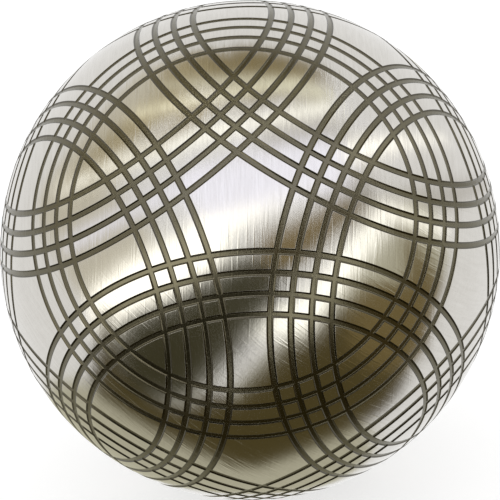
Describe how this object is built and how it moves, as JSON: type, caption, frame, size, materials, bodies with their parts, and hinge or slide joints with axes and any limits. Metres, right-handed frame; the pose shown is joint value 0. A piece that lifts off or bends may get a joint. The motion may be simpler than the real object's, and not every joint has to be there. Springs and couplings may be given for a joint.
{
  "type": "petanque boule",
  "caption": "Hollow steel throwing ball for petanque: half shells welded round the middle, with bands of parallel ring grooves that cross all over its surface.",
  "frame": {"origin": "centre of the ball", "axes": "+Z square to the plane of the weld; X, Y and Z are twofold axes of the groove pattern"},
  "size_m": [0.074, 0.074, 0.074],
  "materials": {
    "shell_steel": "satin brushed outside, with dark heat scale left in the grooves",
    "weld_steel": "turned flush and satin brushed with the shells"
  },
  "bodies": {
    "root": {"upper_half_shell": "shell_steel", "lower_half_shell": "shell_steel", "weld_seam": "weld_steel"}
  },
  "joints": []
}
